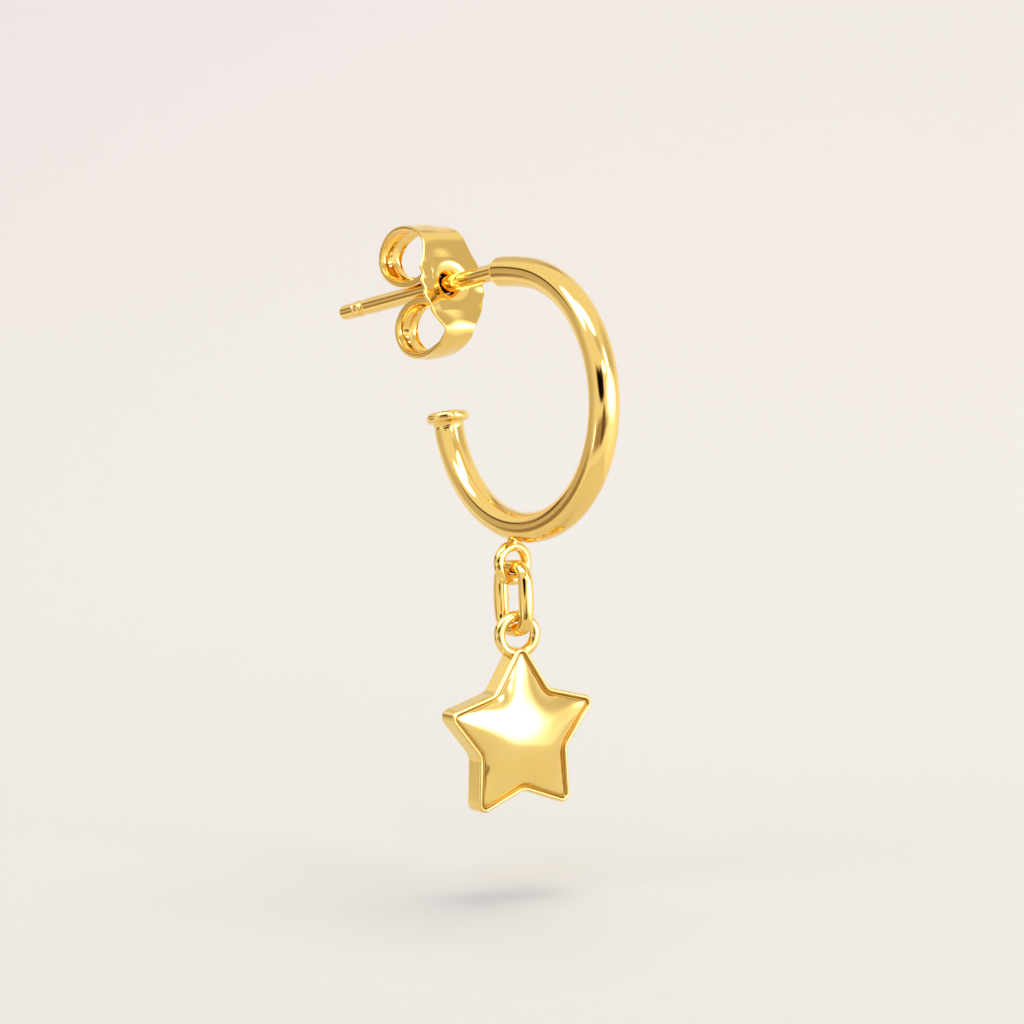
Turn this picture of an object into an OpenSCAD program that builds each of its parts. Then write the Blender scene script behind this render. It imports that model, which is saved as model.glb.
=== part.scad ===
// Hoop charm earring: an open round hoop on a straight ear post, a sheet-metal
// scroll back on the post, and a puffed star that hangs from the hoop by an
// oval link. Millimetres, +Z up, +X to the front of the ear. The hoop lies in
// the XZ plane. The origin is on the post's axis, in the middle of the ear lobe.

/* [Hoop] */
// Radius of the hoop's centreline
hoop_r = 5.8; // [5.6:0.1:6]
// Thickness of the hoop's round tube
tube_d = 1.4; // [1.3:0.05:1.5]
// Angle of the hoop's free end, counted down and round from the front
free_end_a = 167.2; // [150:0.1:172]
// Width of the round flange on the free end
flange_d = 2.0; // [1.8:0.1:2.4]
// Thickness of that flange
flange_t = 0.47; // [0.4:0.01:0.7]
// Angle at which the tube starts to straighten towards the post
straighten_a = 85; // [82:1:87]

/* [Post] */
// Thickness of the ear post
post_d = 0.8; // [0.7:0.05:0.9]
// Slope of the post: the tip is the lower end
post_tilt = 10.2; // [9:0.1:11]
// Distance of the post's axis from the hoop's centre
post_rise = 6.07; // [6.02:0.01:6.15]
// Length of the post behind the middle of the ear lobe
tip_length = 10.84; // [9.5:0.02:12]
// Thickness of the ear lobe between the hoop's end and the scroll back
lobe_t = 3.4; // [3.2:0.05:3.6]

/* [Scroll back] */
// Thickness of the sheet metal
sheet_t = 0.25; // [0.2:0.01:0.3]
// Half of the plate's greatest width
plate_half_w = 1.72; // [1.5:0.01:1.9]
// Half of the upper strip's width where it leaves the plate
upper_root_half_w = 1.05; // [0.9:0.01:1.2]
// Half of the lower strip's width where it leaves the plate
lower_root_half_w = 0.8; // [0.7:0.01:1]
// Half of the width of both strips at their ends
strip_end_half_w = 0.6; // [0.55:0.01:0.7]
// Depth of the groove that runs along each strip and holds the post
groove_depth = 0.2; // [0.18:0.01:0.25]

/* [Ring, link and star] */
// Radius of the centreline of the ring under the hoop
hoop_ring_r = 0.78; // [0.76:0.01:0.85]
// Thickness of that ring's wire
hoop_ring_wire = 0.52; // [0.45:0.01:0.53]
// Width of the oval link between the centrelines of its limbs
link_w = 1.8; // [1.78:0.01:1.9]
// Height of the oval link between the centrelines of its ends
link_h = 2.9; // [2.7:0.05:3.4]
// Radius of the centreline of the link's four bends
link_bend_r = 0.6; // [0.5:0.01:0.62]
// Lean of the link: its lower end is nearer the front
link_lean = 3; // [0:0.5:4]
// Thickness of the link's wire
link_wire = 0.64; // [0.55:0.01:0.65]
// Radius of the centreline of the star's ring
star_ring_r = 0.86; // [0.85:0.01:0.9]
// Thickness of that ring's wire
star_ring_wire = 0.54; // [0.45:0.01:0.55]
// Turn of the star's ring away from the star's face
star_ring_turn = 18; // [0:1:20]
// Distance of the star's point corners from its centre, before rounding
star_tip_r = 4.37; // [4.2:0.01:4.6]
// Distance of the star's inner corners from its centre, before rounding
star_notch_r = 2.56; // [2.4:0.01:2.8]
// Width of the flat wall round the star's rim
star_wall = 1.04; // [0.9:0.01:1.1]
// Rounding between that wall and the star's faces
star_bevel = 0.5; // [0.4:0.01:0.6]
// Rise of the puffed face from the bevel to its middle
star_dome = 0.3; // [0.1:0.01:0.5]

/* [Hidden] */
$fn = 48;
gold = [0.93, 0.74, 0.36];

tube_r = tube_d / 2;
post_r = post_d / 2;
tube_end_round = 0.25;
flange_round = 0.2;

// The hoop's centre, seen from the middle of the ear lobe: the foot of the
// perpendicular from the centre to the post lies foot_x along the post.
foot_gap = 0.74;
foot_x = lobe_t / 2 + foot_gap;
hoop_x = foot_x * cos(post_tilt) + post_rise * sin(post_tilt);
hoop_z = foot_x * sin(post_tilt) - post_rise * cos(post_tilt);

// The tube's last stretch is an arc of larger radius that runs into the post's line.
// It is thinner by seam_step and starts seam_a inside the end of the main arc.
seam_step = 0.01;
seam_a = 1;
turn_left = 90 + post_tilt - straighten_a;
flat_arc_r = (post_rise - hoop_r * cos(turn_left)) / (1 - cos(turn_left));
arc_shift = flat_arc_r - hoop_r;
tangent_x = foot_x - arc_shift * cos(straighten_a - post_tilt);
end_x = lobe_t / 2 + tube_end_round;
flat_arc_a = turn_left - asin((end_x - tangent_x) / flat_arc_r);

// Shape of the post's tip: a groove that the scrolls snap into, and a nose that is a
// little thinner than the post.
post_in_tube = 1;
post_root_x = end_x + post_in_tube;
nose_length = 1.78;
nose_step = 0.06;
snap_x = nose_length - tip_length;
snap_neck_r = 0.29;
snap_cut_r = 0.6;
nose_r = post_r - nose_step;
nose_round = 0.3;

// The two scrolls of the back, each an oval in the post's own frame: its centre
// behind the plate and its height, its half length away from the plate, and the
// half width of its strip at the plate.
plate_x = -lobe_t / 2;
upper_scroll = [plate_x - 2.8, 1.7, 2.2, upper_root_half_w];
lower_scroll = [plate_x - 2.3, -1.76, 2.02, lower_root_half_w];
scroll_front = 2.45;
scroll_half_h = 1.43;
scroll_crown = 0.17;
scroll_start_a = 14;
scroll_end_a = 312;
width_reach = 1.8;
groove_start = 0.4;
groove_reach = 3;
scroll_steps = 34;
plate_steps = 12;
cross_steps = 6;
bore_r = post_r + 0.03;
bore_spare = 1;
dish_r = 0.65;
collar_h = 0.25;

// Places down the chain, all in the hoop's own frame.
chain_gap = 0.03;
star_gap = 0.05;
ring_x = -0.77;
ring_z = -7.49;
link_pivot_z = ring_z - hoop_ring_r;
link_top_z = link_pivot_z + (hoop_ring_wire + link_wire) / 2 + chain_gap;
star_pivot_z = link_top_z - link_h * cos(link_lean);
star_ring_drop = star_ring_r - (star_ring_wire + link_wire) / 2 - star_gap;
star_drop = 4.8;
star_shift = 0.33;
star_lean = 1.5;
star_set_back = 0.1;
seat_r = 0.28;
seat_h = 0.7;

// Outline of the star: tips and notches rounded by these radii.
tip_round = 0.45;
tip_round_least = 0.12;
notch_round = 0.6;
tip_half_a = atan(star_notch_r * sin(36) / (star_tip_r - star_notch_r * cos(36)));
notch_half_a = 36 + tip_half_a;
star_steps = 80;
bevel_steps = 3;
bevel_end_a = 80;
dome_steps = 4;
dome_least = 0.16;

function mix(a, b, t) = a + (b - a) * t;
function smooth(t) = t * t * (3 - 2 * t);

// Faces of a closed surface made of rings of n points, with flat caps at both ends.
function ring_faces(rings, n) = concat(
    [[for (j = [0:n - 1]) j]],
    [for (i = [0:rings - 2], j = [0:n - 1])
        [i * n + j, (i + 1) * n + j, (i + 1) * n + (j + 1) % n, i * n + (j + 1) % n]],
    [[for (j = [n - 1:-1:0]) (rings - 1) * n + j]]);

// Distance of the star's outline, moved in by d, from its centre at angle a from a tip.
function star_edge(a, d) =
    let (
        tip = star_tip_r - d / sin(tip_half_a),
        notch = star_notch_r - d / sin(notch_half_a),
        tip_rad = max(tip_round - d, tip_round_least),
        notch_rad = notch_round + d,
        tip_c = tip - tip_rad / sin(tip_half_a),
        notch_c = notch + notch_rad / sin(notch_half_a),
        tip_a = atan2(tip_rad * cos(tip_half_a), tip_c + tip_rad * sin(tip_half_a)),
        notch_a = atan2(notch_c * sin(36) - notch_rad * cos(tip_half_a),
                        notch_c * cos(36) - notch_rad * sin(tip_half_a)))
    a < tip_a ? tip_c * cos(a) + sqrt(tip_rad ^ 2 - (tip_c * sin(a)) ^ 2)
    : a > notch_a ? notch_c * cos(36 - a) - sqrt(notch_rad ^ 2 - (notch_c * sin(36 - a)) ^ 2)
    : tip * sin(tip_half_a) / sin(a + tip_half_a);

// The same for any direction: the outline repeats and mirrors every 36 degrees.
function star_radius(a, d) =
    let (within = (a % 72 + 72) % 72)
    star_edge(within > 36 ? 72 - within : within, d);

// One ring of the star at height x, moved in by d and shrunk by k towards a circle.
function star_ring_points(x, d, k) = [
    for (j = [0:star_steps - 1])
        let (
            a = 90 + j * 360 / star_steps,
            edge = star_radius(a - 90, d),
            r = k * mix(star_notch_r, edge, k))
        [x, r * cos(a), r * sin(a)]];

// Height, inset and shrink of each ring from the rim to the middle of the front face.
star_half = concat(
    [for (i = [0:bevel_steps])
        let (a = i * bevel_end_a / bevel_steps)
        [star_wall / 2 + star_bevel * sin(a), star_bevel * (1 - cos(a)), 1]],
    [for (i = [1:dome_steps])
        let (
            k = mix(1, dome_least, i / dome_steps),
            rise = star_dome * (1 - k ^ 2))
        [star_wall / 2 + star_bevel * sin(bevel_end_a) + rise,
         star_bevel * (1 - cos(bevel_end_a)), k]]);
star_profile = concat(
    [for (i = [len(star_half) - 1:-1:0]) [-star_half[i][0], star_half[i][1], star_half[i][2]]],
    star_half);

// Point of a scroll's oval at angle a, counted from the plate over the outer side.
function scroll_point(scroll, side, a) = [
    scroll[0] + (a < 90 ? scroll_front : scroll[2]) * cos(a),
    scroll[1] + side * scroll_half_h * sin(a)];

// Depth of the groove at the share t of the strip: first a crown, then the groove.
function groove_at(t) =
    groove_depth * smooth(max(0, min(1, (t - groove_start) * groove_reach)))
    - scroll_crown * sin(180 * min(1, t * 2));

// The outer face of the sheet as [x, z, half width, groove] along each scroll.
function scroll_stations(scroll, side) = [
    for (i = [0:scroll_steps])
        let (
            t = i / scroll_steps,
            p = scroll_point(scroll, side, mix(scroll_start_a, scroll_end_a, t)))
        [p[0], p[1], mix(scroll[3], strip_end_half_w, smooth(min(1, t * width_reach))), groove_at(t)]];
upper_stations = scroll_stations(upper_scroll, 1);
lower_stations = scroll_stations(lower_scroll, -1);
plate_top = upper_stations[0];
plate_bottom = lower_stations[0];

// The plate between them leans straight from one root to the other and bulges in width.
function plate_station(t) =
    let (
        root_w = mix(lower_root_half_w, upper_root_half_w, t),
        bulge = 1 - (2 * t - 1) ^ 2)
    [mix(plate_bottom[0], plate_top[0], t), mix(plate_bottom[1], plate_top[1], t),
     mix(root_w, plate_half_w, bulge), 0];
plate_rise = plate_top[1] - plate_bottom[1];
plate_lean = atan((plate_bottom[0] - plate_top[0]) / plate_rise);
plate_front_x = mix(plate_bottom[0], plate_top[0], -plate_bottom[1] / plate_rise);
plate_stations = [for (i = [1:plate_steps - 1]) plate_station(i / plate_steps)];

// The whole strip, from the lower scroll's end through the plate to the upper one's.
stations = concat(
    [for (i = [scroll_steps:-1:0]) lower_stations[i]], plate_stations, upper_stations);

// Direction of the sheet's thickness at station i: to the left of its path.
function inward(i) =
    let (
        a = stations[max(0, i - 1)],
        b = stations[min(len(stations) - 1, i + 1)],
        dx = b[0] - a[0],
        dz = b[1] - a[1],
        l = sqrt(dx ^ 2 + dz ^ 2))
    [-dz / l, dx / l];

// Section of the sheet at station i: across its outer face and back across its inner face.
function sheet_section(i) =
    let (s = stations[i], n = inward(i))
    [for (face = [0, 1], j = [0:cross_steps])
        let (
            v = face == 0 ? mix(-1, 1, j / cross_steps) : mix(1, -1, j / cross_steps),
            depth = face * sheet_t + s[3] * (1 + cos(180 * v)) / 2)
        [s[0] + n[0] * depth, v * s[2], s[1] + n[1] * depth]];

module in_hoop_frame() {
    translate([hoop_x, 0, hoop_z]) children();
}

module in_post_frame() {
    rotate([0, -post_tilt, 0]) children();
}

// Piece of a torus in the XZ plane, from angle a0 through a degrees.
module arc_tube(radius, wire_r, a0, a) {
    rotate([90, 0, 0]) rotate([0, 0, a0]) rotate_extrude(angle = a, $fn = 96)
        translate([radius, 0]) circle(r = wire_r, $fn = 32);
}

// Round disc standing on z = 0, with its upper rim rounded by f, and its lower rim
// too where both is true. What the upper rim's circle has below z = 0 is cut off.
module rounded_disc(radius, height, f, both) {
    wall = height - (both ? 2 * f : f);
    rotate_extrude($fn = 64) {
        square([radius - f, height]);
        intersection() {
            square([radius, height]);
            union() {
                translate([radius - f, height - f]) circle(r = f, $fn = 32);
                if (both) translate([radius - f, f]) circle(r = f, $fn = 32);
                if (wall > 0) translate([radius - f, both ? f : 0]) square([f, wall]);
            }
        }
    }
}

// Closed ring of round wire in the YZ plane, round the origin.
module wire_ring(radius, wire) {
    rotate([0, 90, 0]) rotate_extrude($fn = 64)
        translate([radius, 0]) circle(r = wire / 2, $fn = 32);
}

module hoop_tube() {
    arc_tube(hoop_r, tube_r, -free_end_a, free_end_a + straighten_a);
    rotate([0, -straighten_a, 0]) translate([-arc_shift, 0, 0]) {
        arc_tube(flat_arc_r, tube_r - seam_step, -seam_a, seam_a + flat_arc_a);
        rotate([0, -flat_arc_a, 0]) translate([flat_arc_r, 0, 0])
            rounded_disc(tube_r - seam_step, tube_end_round, tube_end_round, false);
    }
    rotate([0, free_end_a, 0]) translate([hoop_r, 0, 0]) rotate([180, 0, 0])
        rounded_disc(flange_d / 2, flange_t, flange_round, true);
}

module ear_post() {
    rotate([0, -90, 0]) difference() {
        union() {
            translate([0, 0, -post_root_x]) cylinder(r = post_r, h = post_root_x - snap_x);
            translate([0, 0, -snap_x])
                rounded_disc(nose_r, tip_length + snap_x, nose_round, false);
        }
        translate([0, 0, -snap_x]) rotate_extrude($fn = 64)
            translate([snap_neck_r + snap_cut_r, 0]) circle(r = snap_cut_r, $fn = 48);
    }
}

module solder_seat() {
    translate([ring_x, 0, ring_z + hoop_ring_r]) cylinder(r = seat_r, h = seat_h, center = true);
}

module hoop() {
    color(gold) {
        in_hoop_frame() {
            hoop_tube();
            solder_seat();
            translate([ring_x, 0, ring_z]) wire_ring(hoop_ring_r, hoop_ring_wire);
        }
        in_post_frame() ear_post();
    }
}

// Place of the dished mouth: the origin is the end of its quarter round, on the post's
// axis, and +Z points backwards out of the plate.
module in_dish_frame() {
    translate([plate_front_x - dish_r, 0, 0]) rotate([0, -90 - plate_lean, 0]) children();
}

// Wall of the dish: a quarter round that leads the post into the bore, and a collar.
module dish_wall() {
    rotate_extrude($fn = 64) {
        difference() {
            translate([0, -dish_r]) square([bore_r + dish_r, dish_r]);
            translate([bore_r + dish_r, 0]) circle(r = dish_r - sheet_t, $fn = 64);
        }
        square([bore_r + sheet_t, collar_h]);
    }
}

// The space inside the dish, open to the front.
module dish_mouth() {
    rotate_extrude($fn = 64) difference() {
        translate([0, -dish_r - bore_spare]) square([bore_r + dish_r, dish_r + bore_spare]);
        translate([bore_r + dish_r, 0]) circle(r = dish_r, $fn = 64);
    }
}

module butterfly_back() {
    color(gold) in_post_frame() difference() {
        union() {
            polyhedron(
                points = [for (i = [0:len(stations) - 1]) each sheet_section(i)],
                faces = ring_faces(len(stations), 2 * cross_steps + 2));
            in_dish_frame() dish_wall();
        }
        in_dish_frame() dish_mouth();
        rotate([0, -90, 0]) translate([0, 0, -plate_x - bore_spare])
            cylinder(r = bore_r, h = dish_r + collar_h + 2 * bore_spare);
    }
}

// One end of the link with a limb below it: two bends and the straight wire between.
module half_link() {
    side_x = link_w / 2 - link_bend_r;
    end_z = link_h / 2 - link_bend_r;
    translate([side_x, 0, end_z]) arc_tube(link_bend_r, link_wire / 2, 0, 90);
    translate([-side_x, 0, end_z]) arc_tube(link_bend_r, link_wire / 2, 90, 90);
    translate([-side_x, 0, link_h / 2]) rotate([0, 90, 0])
        cylinder(r = link_wire / 2, h = 2 * side_x, $fn = 32);
    translate([link_w / 2, 0, -end_z]) cylinder(r = link_wire / 2, h = 2 * end_z, $fn = 32);
}

module oval_link() {
    color(gold) in_hoop_frame() translate([ring_x, 0, link_top_z])
        rotate([0, -link_lean, 0]) translate([0, 0, -link_h / 2]) {
            half_link();
            rotate([0, 180, 0]) half_link();
        }
}

module star_body() {
    polyhedron(
        points = [for (p = star_profile) each star_ring_points(p[0], p[1], p[2])],
        faces = ring_faces(len(star_profile), star_steps));
}

module star_charm() {
    color(gold) in_hoop_frame() translate([ring_x + star_shift, 0, star_pivot_z])
        rotate([star_lean, 0, 0]) {
            translate([0, 0, -star_ring_drop]) rotate([0, 0, -star_ring_turn])
                wire_ring(star_ring_r, star_ring_wire);
            translate([-star_set_back, 0, -star_drop]) star_body();
        }
}

hoop();
butterfly_back();
oval_link();
star_charm();
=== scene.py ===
# %% [markdown]
# This lesson dresses a small hoop charm earring in Blender: a round hoop on a straight ear
# post, a scroll back of bent sheet, an oval link and a puffed star, all in polished gold.
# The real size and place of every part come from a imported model, the frame. It is loaded
# first, so that each new surface can be put exactly where the solid part already is.

import math

import bmesh
import bpy
import numpy as np
from mathutils import Matrix, Vector


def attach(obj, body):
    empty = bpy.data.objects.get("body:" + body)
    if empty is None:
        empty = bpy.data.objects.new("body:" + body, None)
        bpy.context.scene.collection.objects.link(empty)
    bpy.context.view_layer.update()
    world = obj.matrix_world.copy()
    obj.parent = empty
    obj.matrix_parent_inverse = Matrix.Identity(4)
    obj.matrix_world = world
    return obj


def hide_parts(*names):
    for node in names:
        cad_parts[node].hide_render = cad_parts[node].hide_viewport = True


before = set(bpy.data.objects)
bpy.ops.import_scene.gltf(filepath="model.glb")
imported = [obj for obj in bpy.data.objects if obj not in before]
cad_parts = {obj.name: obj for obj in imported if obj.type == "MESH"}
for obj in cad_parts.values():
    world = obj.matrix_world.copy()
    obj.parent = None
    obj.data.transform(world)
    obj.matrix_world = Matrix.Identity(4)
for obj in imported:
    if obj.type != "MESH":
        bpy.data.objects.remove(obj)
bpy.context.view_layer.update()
MM = 0.001

# %% [markdown]
# The reference was taken from the front of the ear and a little above, with a long lens.
# A camera can be placed by hand until it looks right, or worked out from angles. Here it is
# worked out: it looks at an aim point from a given azimuth, elevation and distance. The
# field of view comes from the focal length in pixels, because the picture is 1024 wide.

# %% Camera
PICTURE_PX = 1024
FOCAL_PX = 3500
SENSOR_MM = 36
AZIMUTH = math.radians(52.03)
ELEVATION = math.radians(4.85)
DISTANCE = 159.1 * MM
AIM = Vector((3.44, -0.61, -10.62)) * MM

back = Vector((
    math.sin(AZIMUTH) * math.cos(ELEVATION),
    -math.cos(AZIMUTH) * math.cos(ELEVATION),
    math.sin(ELEVATION),
))
camera = bpy.data.objects.new("camera", bpy.data.cameras.new("camera"))
bpy.context.scene.collection.objects.link(camera)
camera.data.sensor_width = SENSOR_MM
camera.data.lens = SENSOR_MM * FOCAL_PX / PICTURE_PX
camera.data.clip_start = 1 * MM
camera.data.clip_end = 10
camera.location = AIM + back * DISTANCE
camera.rotation_mode = "QUATERNION"
camera.rotation_quaternion = (-back).to_track_quat("-Z", "Y")
bpy.context.scene.camera = camera
bpy.context.scene.view_settings.view_transform = "Standard"
print("lens in mm:", round(camera.data.lens, 2))

# %% [markdown]
# Every piece is made in the same way. A shell is a grid of points, worked out as one array,
# whose columns run round and close on themselves. Where a row shrinks to one point, as at
# the tip of the post, the grid makes many equal points. So the mesh is first built with all
# of them, then equal points are merged and the faces are turned outwards.

# %% From arrays to a mesh
MERGE_MM = 1e-4


def grid_quads(rows, cols, first=0, closed=True):
    """Corners of the quads of a grid of rows by cols points, numbered row by row.

    The quad at row i and column j joins points (i, j), (i, j + 1), (i + 1, j + 1) and
    (i + 1, j). Where closed is true, the last column joins the first.
    """
    i, j = np.meshgrid(
        np.arange(rows - 1), np.arange(cols if closed else cols - 1), indexing="ij"
    )
    j_next = (j + 1) % cols
    quads = np.stack(
        [i * cols + j, i * cols + j_next, (i + 1) * cols + j_next, (i + 1) * cols + j], -1
    )
    return first + quads.reshape(-1, 4)


def piece_from_shells(name, shells, crease=None):
    """One mesh object from shells, each a pair of points in millimetres and quads.

    A crease, where given, is a share of painted shade for each point, and becomes an attribute
    of the mesh.
    """
    offsets = np.cumsum([0] + [len(points) for points, _ in shells])
    points = np.concatenate([points for points, _ in shells])
    quads = np.concatenate([quads + o for (_, quads), o in zip(shells, offsets)])
    mesh = bpy.data.meshes.new(name)
    mesh.from_pydata(points.tolist(), [], quads.tolist())
    # painted shade: the crease's share of dark colour is kept on each point
    if crease is not None:
        mesh.attributes.new("crease", "FLOAT", "POINT").data.foreach_set("value", crease)
    work = bmesh.new()
    work.from_mesh(mesh)
    bmesh.ops.remove_doubles(work, verts=work.verts, dist=MERGE_MM)
    bmesh.ops.recalc_face_normals(work, faces=work.faces)
    work.to_mesh(mesh)
    open_edges = sum(not e.is_manifold for e in work.edges)
    work.free()
    mesh.transform(Matrix.Scale(MM, 4))
    mesh.polygons.foreach_set("use_smooth", np.ones(len(mesh.polygons), dtype=bool))
    piece = bpy.data.objects.new(name, mesh)
    bpy.context.scene.collection.objects.link(piece)
    print(name, "faces:", len(mesh.polygons), "open edges:", open_edges)
    return piece


# %% [markdown]
# Wire, tube, post, ring and flange are all round sections that follow a line. Blender can
# sweep a bevelled curve, but then the radius at each point is hard to steer. A sweep in
# numpy takes a centre, a direction and a radius for each station, so a rounded end, a
# groove or a flange is only a change of radius along the way.

# %% Sweep a round section along a line in a plane
SIDES = 96


def unit(vectors):
    """Each vector divided by its own length."""
    return vectors / np.linalg.norm(vectors, axis=-1, keepdims=True)


def sweep(centres, along, radii, across, closed=False, sides=SIDES):
    """Shell of circles: centre + radius * (cos(a) * side + sin(a) * across).

    side is at right angles to the line's direction and to across, the fixed normal of the
    plane that the line lies in. An open sweep ends in rings of radius 0.
    """
    across = np.array(across, dtype=float)
    side = unit(np.cross(along, across))
    a = np.linspace(0, 2 * np.pi, sides, endpoint=False)[None, :, None]
    circle = np.cos(a) * side[:, None, :] + np.sin(a) * across
    points = centres[:, None, :] + radii[:, None, None] * circle
    rows = len(points)
    if closed:
        points = np.concatenate([points, points[:1]])
        rows += 1
    return points.reshape(-1, 3), grid_quads(rows, sides)


def arc(centre, radius, start, end, steps):
    """Points and directions of an arc in the XZ plane, angles in degrees from +X to +Z."""
    a = np.radians(np.linspace(start, end, steps))
    spot = np.stack([np.cos(a), 0 * a, np.sin(a)], -1)
    way = np.stack([-np.sin(a), 0 * a, np.cos(a)], -1) * np.sign(end - start)
    return np.array(centre) + radius * spot, way


def quarter(radius_from, radius_to, length, steps):
    """Radius and place along the axis of a quarter of an ellipse between two radii.

    The place grows as length * sin(t) while the radius goes as
    radius_to + (radius_from - radius_to) * cos(t), for t from 0 to a right angle.
    """
    t = np.linspace(0, np.pi / 2, steps)
    return radius_to + (radius_from - radius_to) * np.cos(t), length * np.sin(t)


# %% [markdown]
# The hoop is a tube of 1.4 mm on a circle of 5.8 mm radius. Towards the post it straightens
# on a wider arc. A line bent by eye would show a kink in its reflections, so both arcs are
# worked out: they share one tangent where they meet. Their sizes follow from the post, from
# its tilt and from how far it passes above the circle's centre.

# %% The hoop's two arcs
LOBE = 3.4
POST_TILT = 10.2
POST_RISE = 6.07
FOOT_GAP = 0.74
HOOP_R = 5.8
STRAIGHTEN = 85
TUBE_END_ROUND = 0.25

tilt = math.radians(POST_TILT)
foot_x = LOBE / 2 + FOOT_GAP
hoop_centre = np.array([
    foot_x * math.cos(tilt) + POST_RISE * math.sin(tilt),
    0,
    foot_x * math.sin(tilt) - POST_RISE * math.cos(tilt),
])
post_way = np.array([math.cos(tilt), 0, math.sin(tilt)])
turn_left = math.radians(90 + POST_TILT - STRAIGHTEN)
wide_r = (POST_RISE - HOOP_R * math.cos(turn_left)) / (1 - math.cos(turn_left))
start_way = math.radians(STRAIGHTEN)
wide_centre = hoop_centre - (wide_r - HOOP_R) * np.array([
    math.cos(start_way), 0, math.sin(start_way)
])
tangent_x = foot_x - (wide_r - HOOP_R) * math.cos(math.radians(STRAIGHTEN - POST_TILT))
tube_end_x = LOBE / 2 + TUBE_END_ROUND
wide_turn = turn_left - math.asin((tube_end_x - tangent_x) / wide_r)
print("hoop centre in mm:", hoop_centre.round(3), "wide arc:", round(wide_r, 2))

# %% [markdown]
# One end of the tube has a rounded face that the post is soldered into. The other, free end
# carries a flat round flange, so that no sharp edge touches the neck. Both could be pieces
# of their own, but they are only changes of radius, so one sweep makes the whole tube.

# %% Hoop tube
TUBE_R = 0.7
FREE_END = 167.2
FLANGE_R = 1.0
FLANGE_T = 0.47
FLANGE_ROUND = 0.21
FLANGE_FACE_R = (0.0, 0.35, 0.65)
FLANGE_FACE_DEPTH = (0.02, 0.015, 0.005)
FLANGE_FOOT_R = 0.04
FLANGE_FOOT_H = 0.06
STATIONS_IN_FOOT = 6
TUBE_END_FACE_R = 0.3


def along_line(start, way, radii, places):
    """Stations on a straight line: start + place * way, each with its radius."""
    centres = start + places[:, None] * way
    return centres, np.broadcast_to(way, centres.shape), radii


def join_stations(*stretches):
    """One line from several stretches of (centres, directions, radii)."""
    return [np.concatenate(part) for part in zip(*stretches)]


def hoop_shell():
    """The whole tube: flange, main arc, wide arc and the rounded end at the post.

    The main arc's first stations lie in the flange's foot, so they are left out.
    """
    main, main_way = arc(hoop_centre, HOOP_R, -FREE_END, STRAIGHTEN, 400)
    wide, wide_way = arc(
        wide_centre, wide_r, STRAIGHTEN, STRAIGHTEN + math.degrees(wide_turn), 60
    )
    rim_r, rim_x = quarter(FLANGE_R, FLANGE_R - FLANGE_ROUND, FLANGE_ROUND, 12)
    foot_r, foot_at = quarter(TUBE_R + FLANGE_FOOT_R, TUBE_R, FLANGE_FOOT_H, 6)
    flange_r = np.concatenate([FLANGE_FACE_R, rim_r[::-1], rim_r, foot_r[1:]])
    wall = FLANGE_T - 2 * FLANGE_ROUND
    flange_x = np.concatenate([
        FLANGE_FACE_DEPTH,
        FLANGE_ROUND - rim_x[::-1],
        FLANGE_ROUND + wall + rim_x,
        FLANGE_T + foot_at[1:],
    ])
    flange = along_line(main[0] - main_way[0] * FLANGE_T, main_way[0], flange_r, flange_x)
    end_r, end_x = quarter(TUBE_R, TUBE_R - TUBE_END_ROUND, TUBE_END_ROUND, 14)
    end = along_line(
        wide[-1],
        wide_way[-1],
        np.append(end_r, [TUBE_END_FACE_R, 0]),
        np.append(end_x, [TUBE_END_ROUND, TUBE_END_ROUND]),
    )
    main, main_way = main[STATIONS_IN_FOOT:], main_way[STATIONS_IN_FOOT:]
    wide, wide_way = wide[1:], wide_way[1:]
    tube = [
        (main, main_way, np.full(len(main), TUBE_R)),
        (wide, wide_way, np.full(len(wide), TUBE_R)),
    ]
    return sweep(*join_stations(flange, *tube, end), across=(0, 1, 0))


tube_shell = hoop_shell()
print("tube points:", len(tube_shell[0]))

# %% [markdown]
# The ear post is a straight wire of 0.8 mm. Its tip is turned on a lathe: a round nose, a
# small bead, a thin neck for the scrolls to snap into, and a round shoulder. Where the post
# enters the tube, a thin fillet of solder runs round it. Each of these is only a change of
# radius, so one sweep along a straight line makes them all.

# %% Post
POST_R = 0.4
TIP = -10.84
NOSE_R = 0.37
NOSE_ROUND = 0.3
NOSE_END = 1.2
BEAD_R = 0.39
BEAD_END = 1.76
NECK_R = 0.25
NECK_END = 1.98
SHOULDER_END = 2.25
WETTING_R = 0.5
WETTING_REACH = 0.16
POST_INSIDE = 0.7
NOSE_STEP = 0.02
SHOULDER_STEP = 0.06
WETTING_STEP = 0.04


def dome(share):
    """Quarter of a circle: rises from 0 to 1 as share goes from 0 to 1, steeply at first."""
    return np.sqrt(np.clip(1 - (1 - np.clip(share, 0, 1)) ** 2, 0, 1))


def post_radius(x):
    """Radius of the post at each place x, which counts from the tip.

    The nose rises from 0 as a dome. The bead is neck + (bead - neck) * a half circle, and
    the shoulder rises from the neck to the post as a dome. Where solder wets the post, the
    radius grows as the cube of the share of the way.
    """
    bead_middle, bead_half = (NOSE_END + BEAD_END) / 2, (BEAD_END - NOSE_END) / 2
    nose = NOSE_R * dome(x / NOSE_ROUND)
    off = (x - bead_middle) / bead_half
    bead = NECK_R + (BEAD_R - NECK_R) * np.sqrt(np.clip(1 - off**2, 0, 1))
    shoulder = NECK_R + (POST_R - NECK_R) * dome((x - NECK_END) / (SHOULDER_END - NECK_END))
    wetting = np.clip((x - (LOBE / 2 - TIP)) / WETTING_REACH + 1, 0, 1)
    wire = shoulder + (WETTING_R - POST_R) * wetting**3
    return np.where(x < NOSE_END, nose, np.where(x < BEAD_END, bead, wire))


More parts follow.
